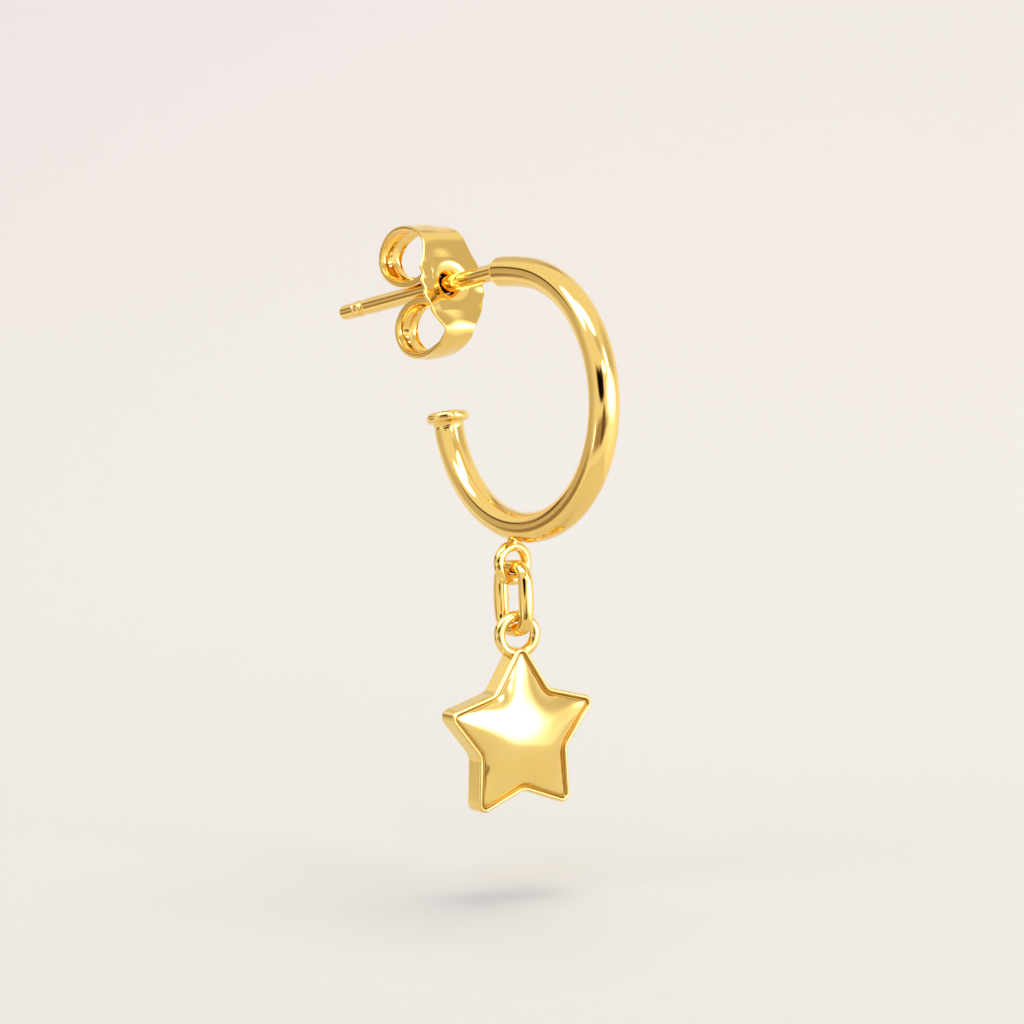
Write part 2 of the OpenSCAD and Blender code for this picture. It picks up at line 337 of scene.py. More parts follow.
def post_shell():
    """Post from its tip to inside the tube, with closer stations where it is turned."""
    tube_face = LOBE / 2 - TIP
    x = np.concatenate([
        NOSE_ROUND * (1 - np.cos(np.linspace(0, np.pi / 2, 20))),
        np.linspace(NOSE_ROUND + NOSE_STEP, SHOULDER_END, 150),
        np.linspace(SHOULDER_END + SHOULDER_STEP, tube_face - WETTING_REACH - WETTING_STEP, 110),
        np.linspace(tube_face - WETTING_REACH, tube_face, 12),
        [tube_face + POST_INSIDE],
    ])
    r = np.append(post_radius(x), 0)
    r[-2] = POST_R / 2
    x = np.append(x, x[-1]) + TIP
    return sweep(*along_line(np.zeros(3), post_way, r, x), across=(0, 1, 0), sides=64)


print("post length in mm:", LOBE / 2 - TIP)

# %% [markdown]
# A small round ring hangs under the hoop, square to it, and a drop of solder joins the two.
# The ring is a closed sweep. The solder is a lathe shape with a waist: it is wide where it
# wets the tube, narrow between, and wide again where it wets the ring.

# %% Ring under the hoop and its solder
RING_AT = np.array([-0.77, 0, -7.49])
RING_R = 0.78
RING_WIRE = 0.52
RING_STATIONS = 160
SOLDER_OVER_RING = 0.42
SOLDER_H = 0.62
SOLDER_WAIST_R = 0.24
SOLDER_FOOT_R = 0.4


def ring_shell(centre, radius, wire, normal):
    """Closed ring of round wire: a sweep along a circle round centre, square to normal."""
    normal = unit(np.array(normal, dtype=float))
    level = unit(np.cross(normal, [0, 0, 1]))
    up = np.cross(level, normal)
    a = np.linspace(0, 2 * np.pi, RING_STATIONS, endpoint=False)[:, None]
    spot = np.cos(a) * level + np.sin(a) * up
    way = -np.sin(a) * level + np.cos(a) * up
    radii = np.full(len(a), wire / 2)
    return sweep(centre + radius * spot, way, radii, normal, closed=True, sides=64)


def solder_shell(top):
    """Drop of solder below its top point, with a waist.

    Its radius is waist + (foot - waist) * t^4, with t from -1 at the top to 1 below.
    """
    t = np.linspace(-1, 1, 41)
    r = SOLDER_WAIST_R + (SOLDER_FOOT_R - SOLDER_WAIST_R) * t**4
    t = np.concatenate([t[:1], t, t[-1:]])
    r = np.concatenate([[0], r, [0]])
    stations = along_line(top, np.array([0.0, 0, -1]), r, SOLDER_H * (t + 1) / 2)
    return sweep(*stations, across=(0, 1, 0), sides=64)


ring_centre = hoop_centre + RING_AT
hoop = piece_from_shells("hoop_and_post", [
    tube_shell,
    post_shell(),
    ring_shell(ring_centre, RING_R, RING_WIRE, (1, 0, 0)),
    solder_shell(ring_centre + np.array([0, 0, RING_R + SOLDER_OVER_RING])),
])
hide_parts("hoop")
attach(hoop, "hoop")

# %% [markdown]
# The oval link is bent from round wire of 0.64 mm. Its line is a rectangle with round
# corners. A hard change from straight to bend would show as a kink in the reflections, so
# the line is smoothed: each point becomes the mean of its neighbours along the wire. Halfway
# down both limbs the wire is a little thicker than in the bends, where it was stretched.

# %% Oval link
LINK_W = 1.8
LINK_H = 2.9
LINK_BEND = 0.6
LINK_WIRE = 0.64
LINK_LEAN = 3
CHAIN_GAP = 0.03
LINK_BOW = 0.03
LINK_SWELL = 0.12


def link_line(samples=240, spread=9):
    """Closed line of the link: a rounded rectangle with evenly spaced, averaged points.

    Its long sides bow out by bow * cos(180 z / height), as drawn wire does when it is bent.
    """
    x, z = LINK_W / 2 - LINK_BEND, LINK_H / 2 - LINK_BEND
    corners = [(x, z, 0), (-x, z, 90), (-x, -z, 180), (x, -z, 270)]
    line = np.concatenate([
        arc((cx, 0, cz), LINK_BEND, start, start + 90, 40)[0] for cx, cz, start in corners
    ])
    line = np.concatenate([line, line[:1]])
    run = np.concatenate([[0], np.cumsum(np.linalg.norm(np.diff(line, axis=0), axis=1))])
    even = np.linspace(0, run[-1], samples, endpoint=False)
    line = np.stack([np.interp(even, run, places) for places in line.T], -1)
    steps = np.arange(-spread, spread + 1)
    line = np.mean([np.roll(line, s, axis=0) for s in steps], axis=0)
    line[:, 0] += np.sign(line[:, 0]) * LINK_BOW * np.cos(np.pi * line[:, 2] / LINK_H)
    return line


def turned(points, axis, degrees):
    """Points turned about a row axis through the origin by the right-hand rule."""
    return points @ np.array(Matrix.Rotation(math.radians(degrees), 3, axis)).T


link_pivot = RING_AT + np.array([0, 0, -RING_R])
link_top = link_pivot + np.array([0, 0, (RING_WIRE + LINK_WIRE) / 2 + CHAIN_GAP])
line = link_line()
line[:, 2] -= LINK_H / 2
swell = 1 + LINK_SWELL * np.cos(np.pi * (line[:, 2] + LINK_H / 2) / LINK_H) ** 2
line = turned(line, "Y", -LINK_LEAN) + hoop_centre + link_top
way = unit(np.roll(line, -1, axis=0) - np.roll(line, 1, axis=0))
link = piece_from_shells("oval_link_wire", [
    sweep(line, way, LINK_WIRE / 2 * swell, (0, 1, 0), closed=True, sides=64)
])
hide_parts("oval_link")
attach(link, "link")

# %% [markdown]
# The charm is a puffed five-pointed star with soft tips. It could be sculpted, but formulas
# give cleaner reflections. First comes the outline, as a distance from the centre at every
# angle: tips and notches are circles, and the sides between them are straight. Moved
# inwards, the same formula gives each smaller outline that the rounded edge needs.

# %% Star outline
STAR_TIP = 4.37
STAR_NOTCH = 2.56
TIP_ROUND = 0.4
TIP_ROUND_LEAST = 0.12
NOTCH_ROUND = 0.6

tenth = math.radians(36)
tip_half = math.atan(
    STAR_NOTCH * math.sin(tenth) / (STAR_TIP - STAR_NOTCH * math.cos(tenth))
)


def star_outline(a, inset):
    """Distance of the star's outline, moved in by inset, from its centre at angle a.

    Angles count from a tip and repeat and mirror every 36 degrees. Between two straight
    sides, the tip is a circle whose centre lies on the tip's line, and so is the notch.
    """
    a = np.abs((a + tenth) % (2 * tenth) - tenth)
    notch_half = tenth + tip_half
    tip = STAR_TIP - inset / math.sin(tip_half)
    notch = STAR_NOTCH - inset / math.sin(notch_half)
    tip_r = np.maximum(TIP_ROUND - inset, TIP_ROUND_LEAST)
    notch_r = NOTCH_ROUND + inset
    tip_c = tip - tip_r / math.sin(tip_half)
    notch_c = notch + notch_r / math.sin(notch_half)
    tip_a = np.arctan2(tip_r * math.cos(tip_half), tip_c + tip_r * math.sin(tip_half))
    notch_a = np.arctan2(
        notch_c * math.sin(tenth) - notch_r * math.cos(tip_half),
        notch_c * math.cos(tenth) - notch_r * math.sin(tip_half),
    )
    at_tip = tip_c * np.cos(a) + np.sqrt(np.maximum(tip_r**2 - (tip_c * np.sin(a)) ** 2, 0))
    b = tenth - a
    at_notch = notch_c * np.cos(b) - np.sqrt(
        np.maximum(notch_r**2 - (notch_c * np.sin(b)) ** 2, 0)
    )
    side = tip * math.sin(tip_half) / np.sin(a + tip_half)
    return np.where(a < tip_a, at_tip, np.where(a > notch_a, at_notch, side))


print("half angle of a tip in degrees:", round(math.degrees(tip_half), 1))

# %% [markdown]
# From the flat wall, the surface turns over a rounded shoulder and through a fine crease.
# Inside the crease, the face is blown up like a film that is held by a star-shaped frame, so
# it is high in the middle, with soft ridges out to the points. A simple dome would lose the
# star near its notches.

# %% Star shell
STAR_WALL = 0.8
EDGE_TURN = ((0.11, 55), (0.05, 25), (0.12, 78), (0.15, -102))
STAR_DOME = 0.72
CREASE_INSET = 0.25
CREASE_SHADE_HALF = 0.09
FILM_WAVES = 8
FILM_FULL = 0.85
STAR_COLUMNS = 480
FACE_ROWS = 44
WALL_ROWS = 6


def edge_profile(steps=8):
    """Inset and rise of the edge, from the wall to the face.

    The edge is a chain of arcs, each with a length and a turn, and the last one turns back
    out of the crease. Steps along them are summed: the inset grows by length * sin(turned
    so far), and the rise by length * cos of it.
    """
    turns = np.concatenate([np.full(steps, degrees / steps) for _, degrees in EDGE_TURN])
    lengths = np.concatenate([np.full(steps, length / steps) for length, _ in EDGE_TURN])
    angle = np.radians(np.cumsum(turns) - turns / 2)
    inset = np.concatenate([[0], np.cumsum(lengths * np.sin(angle))])
    return inset, np.concatenate([[0], np.cumsum(lengths * np.cos(angle))])


def film(reach, frame_r, a):
    """Height of a film blown up over a star-shaped frame, as a share of its middle.

    It is a sum of c r^(5 n) cos(5 n a), less r^2, with r as a share of the frame's reach.
    The numbers c bring the film to zero on the frame.
    """
    far = frame_r.max()

    def waves(r):
        return [(r / far) ** (5 * n) * np.cos(5 * n * a) for n in range(FILM_WAVES)]

    numbers = np.linalg.lstsq(
        np.stack(waves(frame_r), -1), (frame_r / far) ** 2, rcond=None
    )[0]
    puff = sum(c * w for c, w in zip(numbers, waves(reach))) - (reach / far) ** 2
    return np.maximum(puff / numbers[0], 0) ** FILM_FULL


def star_shell():
    """Rows from the middle of the back face over the rim to the middle of the front face.

    Each row has an inset and a share k of the outline. The wall rises to the rounded edge,
    and inside the edge the face is a film. The crease's share of painted shade is a bell,
    e^(-d^2), of the distance d from its bottom line.
    """
    edge_in, edge_rise = edge_profile()
    k = np.linspace(1, 0, FACE_ROWS)[1:]
    wall = np.linspace(0, STAR_WALL / 2, WALL_ROWS)[1:-1]
    a = np.linspace(0, 2 * np.pi, STAR_COLUMNS, endpoint=False)
    face_r = star_outline(a, edge_in[-1])
    puff = film(k[:, None] * face_r, face_r, a)
    flat = np.concatenate([wall, STAR_WALL / 2 + edge_rise])
    height = np.concatenate([
        np.repeat(flat[:, None], STAR_COLUMNS, 1), flat[-1] + STAR_DOME * puff
    ])
    inset = np.concatenate([0 * wall, edge_in, np.full(len(k), edge_in[-1])])
    share = np.concatenate([np.ones(len(flat)), k])
    height = np.concatenate([-height[::-1], height])
    inset = np.concatenate([inset[::-1], inset])[:, None]
    share = np.concatenate([share[::-1], share])[:, None]
    r = share * star_outline(a, inset)
    points = np.stack([height, -r * np.sin(a), r * np.cos(a)], -1)
    from_crease = (inset + (1 - share) * STAR_NOTCH - CREASE_INSET) / CREASE_SHADE_HALF
    # painted shade: the share of a dark colour at the bottom of the crease
    crease = np.exp(-(from_crease**2)) + 0 * r
    return points.reshape(-1, 3), grid_quads(len(height), STAR_COLUMNS), crease.reshape(-1)


star_points, star_quads, star_crease_shade = star_shell()
print("star faces:", len(star_quads), "height in mm:", round(np.ptp(star_points[:, 2]), 2))

# %% [markdown]
# The star hangs by a ring that is soldered on its top point. The ring is turned a little and
# passes through the oval link, close above its bottom bend. Star and ring lean together
# round the place where they hang. Both are one piece, like the soldered metal.

# %% Star and ring, hung in the link
STAR_RING_R = 0.86
STAR_RING_WIRE = 0.52
STAR_RING_TURN = 18
STAR_SHIFT = 0.33
STAR_GAP = 0.06
STAR_DROP = 4.84
STAR_SET_BACK = 0.1
STAR_LEAN = 1.5
STAR_YAW = -3.5

lean = math.radians(LINK_LEAN)
star_pivot = hoop_centre + link_top + np.array([STAR_SHIFT, 0, -LINK_H * math.cos(lean)])
star_points = turned(star_points, "Z", STAR_YAW) + np.array([-STAR_SET_BACK, 0, -STAR_DROP])
ring_drop = STAR_RING_R - (STAR_RING_WIRE + LINK_WIRE) / 2 - STAR_GAP
turn = math.radians(STAR_RING_TURN)
ring_points, ring_quads = ring_shell(
    np.array([0, 0, -ring_drop]),
    STAR_RING_R,
    STAR_RING_WIRE,
    (math.cos(turn), -math.sin(turn), 0),
)
charm = piece_from_shells("puffed_star", [
    (turned(star_points, "X", STAR_LEAN) + star_pivot, star_quads),
    (turned(ring_points, "X", STAR_LEAN) + star_pivot, ring_quads),
], np.concatenate([star_crease_shade, np.zeros(len(ring_points))]))
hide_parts("star_charm")
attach(charm, "star")

# %% [markdown]
# The scroll back is one strip of sheet: a wide plate with a hole for the post, and a scroll
# rolled from each end. It could be cut and bent with modifiers, but a function of two
# parameters is exact: one runs along the strip and one across it. Seen from the side, the
# strip is a line of ovals and a straight plate. Each place on it also has a half width.

# %% Plate and scrolls from the side
PLATE_X = -LOBE / 2
SCROLL_FRONT = 2.45
SCROLL_HALF_H = 1.43
SCROLL_START = 14
SCROLL_END = 312
UPPER = {"x": PLATE_X - 2.8, "z": 1.7, "rear": 2.2, "root": 1.15, "side": 1}
LOWER = {"x": PLATE_X - 2.3, "z": -1.76, "rear": 2.02, "root": 0.8, "side": -1}
PLATE_HALF_W = 1.72
STRIP_END_HALF_W = 0.6
WIDTH_REACH = 1.8
GROOVE_DEPTH = 0.2
CROWN = 0.08
PLATE_ROWS = 88
SCROLL_ROWS = 230


def smooth(t):
    """Eases from 0 to 1: 3 t^2 - 2 t^3, with t kept between 0 and 1."""
    t = np.clip(t, 0, 1)
    return t * t * (3 - 2 * t)


def scroll_line(scroll, t):
    """Place and half width of a scroll at the share t of its length.

    The place is an oval: centre + half length * cos(a) along the post, and height + side *
    half height * sin(a) above it. The half length is larger in front of the centre.
    """
    a = np.radians(SCROLL_START + (SCROLL_END - SCROLL_START) * t)
    reach = np.where(a < math.pi / 2, SCROLL_FRONT, scroll["rear"])
    place = np.stack([
        scroll["x"] + reach * np.cos(a),
        scroll["z"] + scroll["side"] * SCROLL_HALF_H * np.sin(a),
    ], -1)
    width = scroll["root"] + (STRIP_END_HALF_W - scroll["root"]) * smooth(t * WIDTH_REACH)
    return place, width


def crown_and_groove(t):
    """How far the strip's middle stands in: a groove late on, less a crown early on."""
    return GROOVE_DEPTH * smooth((t - 0.4) * 3) - CROWN * np.sin(np.pi * np.minimum(1, 2 * t))


top_place, _ = scroll_line(UPPER, np.array([0.0]))
bottom_place, _ = scroll_line(LOWER, np.array([0.0]))
plate_top, plate_bottom = top_place[0], bottom_place[0]
rise = plate_top[1] - plate_bottom[1]
plate_lean = math.atan((plate_bottom[0] - plate_top[0]) / rise)
t_post = -plate_bottom[1] / rise
plate_front_x = plate_bottom[0] + (plate_top[0] - plate_bottom[0]) * t_post

t_plate = np.linspace(0, 1, PLATE_ROWS)[1:-1]
bulge = 1 - (2 * t_plate - 1) ** 2
root = LOWER["root"] + (UPPER["root"] - LOWER["root"]) * t_plate
plate_place = plate_bottom + (plate_top - plate_bottom) * t_plate[:, None]
plate_w = root + (PLATE_HALF_W - root) * bulge
t_scroll = np.linspace(0, 1, SCROLL_ROWS)
upper_place, upper_w = scroll_line(UPPER, t_scroll)
lower_place, lower_w = scroll_line(LOWER, t_scroll)
strip_place = np.concatenate([lower_place[::-1], plate_place, upper_place])
strip_w = np.concatenate([lower_w[::-1], plate_w, upper_w])
strip_groove = np.concatenate([
    crown_and_groove(t_scroll)[::-1], 0 * t_plate, crown_and_groove(t_scroll)
])
print("rows of the strip:", len(strip_place), "plate lean:", round(math.degrees(plate_lean), 1))

# %% [markdown]
# The plate and the ovals meet at a small angle, where real sheet has a soft bend. Averaging
# each row with its neighbours makes that bend. The direction along the strip and the one
# into the sheet are then measured from the smooth line, together with the length run.

# %% Smooth the strip's line
RIDGE_FROM = 2.6
RIDGE_EASE = 1.2


def averaged(values, spread=8):
    """Each row replaced by the mean of its neighbours, except near both ends."""
    window = np.ones(2 * spread + 1) / (2 * spread + 1)
    columns = values.reshape(len(values), -1)
    soft = np.stack([np.convolve(c, window, "same") for c in columns.T], -1)
    soft[:spread], soft[-spread:] = columns[:spread], columns[-spread:]
    return soft.reshape(values.shape)


strip_place, strip_w = averaged(strip_place), averaged(strip_w)
strip_groove = averaged(strip_groove)
strip_run = np.concatenate([
    [0], np.cumsum(np.linalg.norm(np.diff(strip_place, axis=0), axis=1))
])
strip_way = unit(np.gradient(strip_place, strip_run, axis=0))
strip_in = np.stack([-strip_way[:, 1], strip_way[:, 0]], -1)
post_row = SCROLL_ROWS + round(t_post * (PLATE_ROWS - 1)) - 1
run_from_post = strip_run - strip_run[post_row]
strip_ridge = smooth((np.abs(run_from_post) - RIDGE_FROM) / RIDGE_EASE)
print("strip length in mm:", round(strip_run[-1], 2))

# %% [markdown]
# Any point of the sheet is now found from three numbers: the row on the strip's line, the
# share of the half width, and the depth below the outer face. The small forms come in here.
# Sines give the dents of the hammer and the scallops of the edge, and a high power of the
# run fades both out where the plate ends and the scrolls begin.

# %% Points of the sheet
SHEET_T = 0.16
SHEET_SIDE = 1.07
SCALLOP = 0.03
SCALLOP_REACH = 3.1
BROAD_DENT = 0.035
FLUTE = 0.02
DENT_REACH = 3.4
RIDGE = 0.11


def fade(run, reach):
    """1 on the plate and 0 on the scrolls: e^(-(run / reach)^6)."""
    return np.exp(-((run / reach) ** 6))


def scallops(run):
    """Sine of the run with a drifting pace, so that no two scallops are alike."""
    return np.sin(6.8 * run + 1.6 * np.sin(1.7 * run)) * fade(run, SCALLOP_REACH)


def hammered(run, v):
    """Soft dents on the plate: a few broad ones, and flutes along its edges.

    A broad dent is a product of sines along and across. A flute is v^4 times a scallop.
    """
    broad = BROAD_DENT * np.sin(2.3 * run + 1.1 * v) * np.cos(2.1 * v + 0.5)
    return (broad + FLUTE * v**4 * scallops(run)) * fade(run, DENT_REACH)


def sheet_points(depth, v):
    """Points of the sheet, depth below its outer face, at the share v of its half width.

    Sideways a point is v * half width, a little more on one side, as the sheet was not
    cut quite evenly, and the edge is scalloped along the plate. It stands in by
    depth + groove * (1 + cos(180 v)) / 2 + dents. The inner face also has a lengthwise
    ridge and two hollows: ridge * (1 - |sin(180 v)|).
    """
    run = run_from_post[:, None]
    y = v * strip_w[:, None] * (1 + SCALLOP * scallops(run)) * np.where(v > 0, SHEET_SIDE, 1)
    ridge = RIDGE * strip_ridge[:, None] * (1 - np.abs(np.sin(np.pi * v)))
    stand = depth * (1 + ridge / SHEET_T) + hammered(run, v)
    stand = stand + strip_groove[:, None] * (1 + np.cos(np.pi * v)) / 2
    x = strip_place[:, :1] + strip_in[:, :1] * stand
    z = strip_place[:, 1:] + strip_in[:, 1:] * stand
    return np.stack([x, y + 0 * x, z], -1)


print("ridge in mm:", RIDGE, "on rows:", int((strip_ridge > 0).sum()))

# %% [markdown]
# The section of the sheet is a flat loop: along the outer face, round one edge, back along
# the inner face and round the other edge. Sent along the strip, it gives a closed grid. Both
# ends need a few more rows, which shrink towards the middle of the sheet as they step out.

# %% Closed grid with rounded edges and ends
FACE_COLUMNS = 45
FLAT_SHARE = 0.93
EDGE_STEPS = 9
END_ROWS = 5


def section_loop():
    """Share of the half width and depth of each point of the loop round the section."""
    v = np.linspace(-1, 1, FACE_COLUMNS) * FLAT_SHARE
    a = np.linspace(0, np.pi, EDGE_STEPS + 2)[1:-1]
    edge_v = FLAT_SHARE + (1 - FLAT_SHARE) * np.sin(a)
    edge_depth = SHEET_T * (1 - np.cos(a)) / 2
    loop_v = np.concatenate([v, edge_v, v[::-1], -edge_v])
    loop_depth = np.concatenate([0 * v, edge_depth, 0 * v + SHEET_T, edge_depth[::-1]])
    return loop_v[None, :], loop_depth[None, :]


def with_ends(grid, middle):
    """The grid with more rows at both ends, which round them off.

    Such a row is middle + (last row - middle) * cos(a) + way out * thickness / 2 * sin(a).
    """
    ends = []
    for row, sign in ((0, -1), (len(grid) - 1, 1)):
        out = np.array([strip_way[row, 0], 0, strip_way[row, 1]]) * sign
        for a in np.linspace(0, np.pi / 2, END_ROWS + 1)[1:]:
            shape = middle[row] + (grid[row] - middle[row]) * math.cos(a)
            ends.append(shape + out * math.sin(a) * SHEET_T / 2)
    return np.concatenate([ends[:END_ROWS][::-1], grid, ends[END_ROWS:]])


section_v, section_depth = section_loop()
sheet_middle = sheet_points(0 * section_depth + SHEET_T / 2, section_v)
sheet_grid = with_ends(sheet_points(section_depth, section_v), sheet_middle)
print("sheet grid:", sheet_grid.shape)

# %% [markdown]
# The hole is the hard part of a grid: its round edge does not follow rows and columns. So a
# square block of cells is left out of both faces round the hole. From the square's edge,
# rings of points lead to the round mouth, down the dish, round the lip of the collar and
# back up to the square on the other face. The surface stays closed and smooth all the way.

# %% Dished hole
BORE_R = 0.43
DISH_R = 0.65
DISH_STEPS = 18
COLLAR_H = 0.25
COLLAR_SHARES = (0.35, 0.7)
LIP_STEPS = 9
LIP_DROP = 0.02
BLOCK_HALF_ROWS = 26
BLOCK_HALF_COLUMNS = 15
BLEND_STEPS = 9


def sheet_shell(grid):
    """The grid less a block of cells on both faces, and the rings of the dished hole."""
    rows, cols = grid.shape[:2]
    row_mid, col_mid = END_ROWS + post_row, FACE_COLUMNS // 2
    row_lo, row_hi = row_mid - BLOCK_HALF_ROWS, row_mid + BLOCK_HALF_ROWS
    col_lo, col_hi = col_mid - BLOCK_HALF_COLUMNS, col_mid + BLOCK_HALF_COLUMNS
    inner_last = 2 * FACE_COLUMNS + EDGE_STEPS - 1
    quads = grid_quads(rows, cols)
    quad_row, quad_col = quads[:, 0] // cols, quads[:, 0] % cols
    in_rows = (quad_row >= row_lo) & (quad_row < row_hi)
    in_outer = (quad_col >= col_lo) & (quad_col < col_hi)
    in_inner = (quad_col >= inner_last - col_hi) & (quad_col < inner_last - col_lo)
    quads = quads[~(in_rows & (in_outer | in_inner))]
    r_up, c_up = np.arange(row_lo, row_hi), np.arange(col_lo, col_hi)
    ring_rows = np.concatenate([0 * c_up + row_lo, r_up, 0 * c_up + row_hi, r_up[::-1] + 1])
    ring_cols = np.concatenate([c_up, 0 * r_up + col_hi, c_up[::-1] + 1, 0 * r_up + col_lo])
    rings = dish_rings(grid[ring_rows, ring_cols], grid[ring_rows, inner_last - ring_cols])
    points = np.concatenate([grid.reshape(-1, 3), rings.reshape(-1, 3)])
    dish = grid_quads(len(rings), len(ring_rows), first=rows * cols)
    return points, np.concatenate([quads, dish])


def dish_rings(front_ring, back_ring):
    """Rings from the front square down the dish, round the lip and up to the back square.

    In the dish's own frame the quarter round is r = bore + R * (1 - sin(t)) and
    depth = -R * cos(t), and the wall's outer side is the same with R less the sheet.
    """
    normal = np.array([math.cos(plate_lean), 0, math.sin(plate_lean)])
    up = np.array([-math.sin(plate_lean), 0, math.cos(plate_lean)])
    across = np.array([0.0, 1, 0])
    throat = np.array([plate_front_x - DISH_R, 0, 0])
    rel = front_ring - throat
    a = np.arctan2(rel @ up, rel @ across)[:, None]
    spoke = np.cos(a) * across + np.sin(a) * up

    def ring(r, depth):
        return throat + r * spoke - depth * normal

    outer_r = DISH_R - SHEET_T
    t = np.linspace(0, np.pi / 2, DISH_STEPS)
    front = [ring(BORE_R + DISH_R * (1 - math.sin(s)), -DISH_R * math.cos(s)) for s in t]
    collar = [ring(BORE_R, COLLAR_H * share) for share in COLLAR_SHARES]
    lip = [
        ring(
            BORE_R + SHEET_T / 2 * (1 - math.cos(s)),
            COLLAR_H + LIP_DROP - SHEET_T / 2 * (1 - math.sin(s)),
        )
        for s in np.linspace(0, np.pi, LIP_STEPS)
    ]
    behind = [
        ring(BORE_R + SHEET_T + outer_r * (1 - math.sin(s)), -outer_r * math.cos(s))
        for s in t[::-1]
    ]
    blend = smooth(np.linspace(0, 1, BLEND_STEPS))[:, None, None]
    way_in = front_ring + blend[:-1] * (front[0] - front_ring)
    way_out = behind[-1] + blend[1:] * (back_ring - behind[-1])
    return np.concatenate([way_in, np.stack(front + collar + lip + behind), way_out])


sheet_spots, sheet_quads = sheet_shell(sheet_grid)
sheet_spots = turned(sheet_spots, "Y", -POST_TILT)
back_piece = piece_from_shells("scroll_back", [(sheet_spots, sheet_quads)])
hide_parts("butterfly_back")
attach(back_piece, "butterfly")

# %% [markdown]
# The looks are node trees, and a script builds them node by node. The same few steps come
# again and again, so they are small helpers: add a node, open a group with its sockets, ease
# a value into a share, and mix two colours by a share.

# %% Small helpers for node trees
def add_node(tree, kind, **settings):
    """A new node of a kind in a tree, with its properties set."""
    node = tree.nodes.new("ShaderNode" + kind)
    for key, value in settings.items():
        setattr(node, key, value)
    return node


def new_group(name, inputs, outputs):
    """Node group with its sockets, and its node of inputs and its node of outputs."""
    group = bpy.data.node_groups.new(name, "ShaderNodeTree")
    for sockets, in_out in ((inputs, "INPUT"), (outputs, "OUTPUT")):
        for label, kind in sockets.items():
            group.interface.new_socket(label, in_out=in_out, socket_type="NodeSocket" + kind)
    return group, group.nodes.new("NodeGroupInput"), group.nodes.new("NodeGroupOutput")


def eased(tree, value, start, end):
    """Share that eases from 0 to 1 while a value goes from start to end."""
    ramp = add_node(tree, "MapRange", interpolation_type="SMOOTHSTEP")
    ramp.inputs["From Min"].default_value = start
    ramp.inputs["From Max"].default_value = end
    tree.links.new(value, ramp.inputs["Value"])
    return ramp.outputs["Result"]


def colour_mix(tree, share, under, over):
    """Colour that goes from under, a colour or a socket, to over as share goes 0 to 1."""
    mix = add_node(tree, "Mix", data_type="RGBA")
    mix.inputs["B"].default_value = over
    tree.links.new(share, mix.inputs["Factor"])
    if isinstance(under, tuple):
        mix.inputs["A"].default_value = under
    else:
        tree.links.new(under, mix.inputs["A"])
    return mix.outputs["Result"]


# %% [markdown]
# All parts share one finish: highly polished yellow gold. A mirror-like metal needs very
# little: its colour, a low roughness, and faint traces of the polishing wheel. The traces
# are one effect that every piece uses, each with its own strength, so they are built once
# as a node group that puts out a colour, a roughness and a height.

# %% Polishing traces as a node group
GRAIN_FINER = 9

colours = {"Gold": "Color", "Deep gold": "Color"}
amounts = {"Roughness": "Float", "Haze": "Float", "Scale": "Float"}
TRACES, taken, given = new_group(
    "polishing traces",
    {"Vector": "Vector", **colours, **amounts},
    {"Color": "Color", "Roughness": "Float", "Height": "Float"},
)
cloud = add_node(TRACES, "TexNoise")
cloud.inputs["Detail"].default_value = 3
grain = add_node(TRACES, "TexNoise")
grain.inputs["Detail"].default_value = 5
finer = add_node(TRACES, "Math", operation="MULTIPLY")
finer.inputs[1].default_value = GRAIN_FINER
tone = add_node(TRACES, "Mix", data_type="RGBA")
haze = add_node(TRACES, "Math", operation="MULTIPLY_ADD")
for out, into in (
    (taken.outputs["Vector"], cloud.inputs["Vector"]),
    (taken.outputs["Vector"], grain.inputs["Vector"]),
    (taken.outputs["Scale"], cloud.inputs["Scale"]),
    (taken.outputs["Scale"], finer.inputs[0]),
    (finer.outputs[0], grain.inputs["Scale"]),
    (cloud.outputs["Fac"], tone.inputs["Factor"]),
    (taken.outputs["Gold"], tone.inputs["A"]),
    (taken.outputs["Deep gold"], tone.inputs["B"]),
    (tone.outputs["Result"], given.inputs["Color"]),
    (grain.outputs["Fac"], haze.inputs[0]),
    (taken.outputs["Haze"], haze.inputs[1]),
    (taken.outputs["Roughness"], haze.inputs[2]),
    (haze.outputs[0], given.inputs["Roughness"]),
    (grain.outputs["Fac"], given.inputs["Height"]),
):
    TRACES.links.new(out, into)
print("group sockets:", [item.name for item in TRACES.interface.items_tree])

# %% [markdown]
# Each piece gets its own gold from the same recipe: the group feeds a Principled shader
# that is fully metallic. Cast and tumbled pieces, such as the star, are a little softer
# than drawn wire. The bump is far too small to see as relief and only breaks up the
# sharpest reflections. The bottom of the star's crease gets painted shade, a dark red-brown
# colour that the piece's own attribute mixes in.

# %% Gold finishes
TUBE_GOLD = (0.95, 0.665, 0.208, 1)
WIRE_GOLD = (0.95, 0.64, 0.18, 1)
SHEET_GOLD = (0.94, 0.64, 0.178, 1)
CAST_GOLD = (0.985, 0.75, 0.255, 1)
DEEP_GOLD = (0.94, 0.64, 0.185, 1)
# painted shade for the bottom of the star's crease
CREASE_SHADE_COLOUR = (0.36, 0.16, 0.012, 1)
BUMP_STRENGTH = 0.2


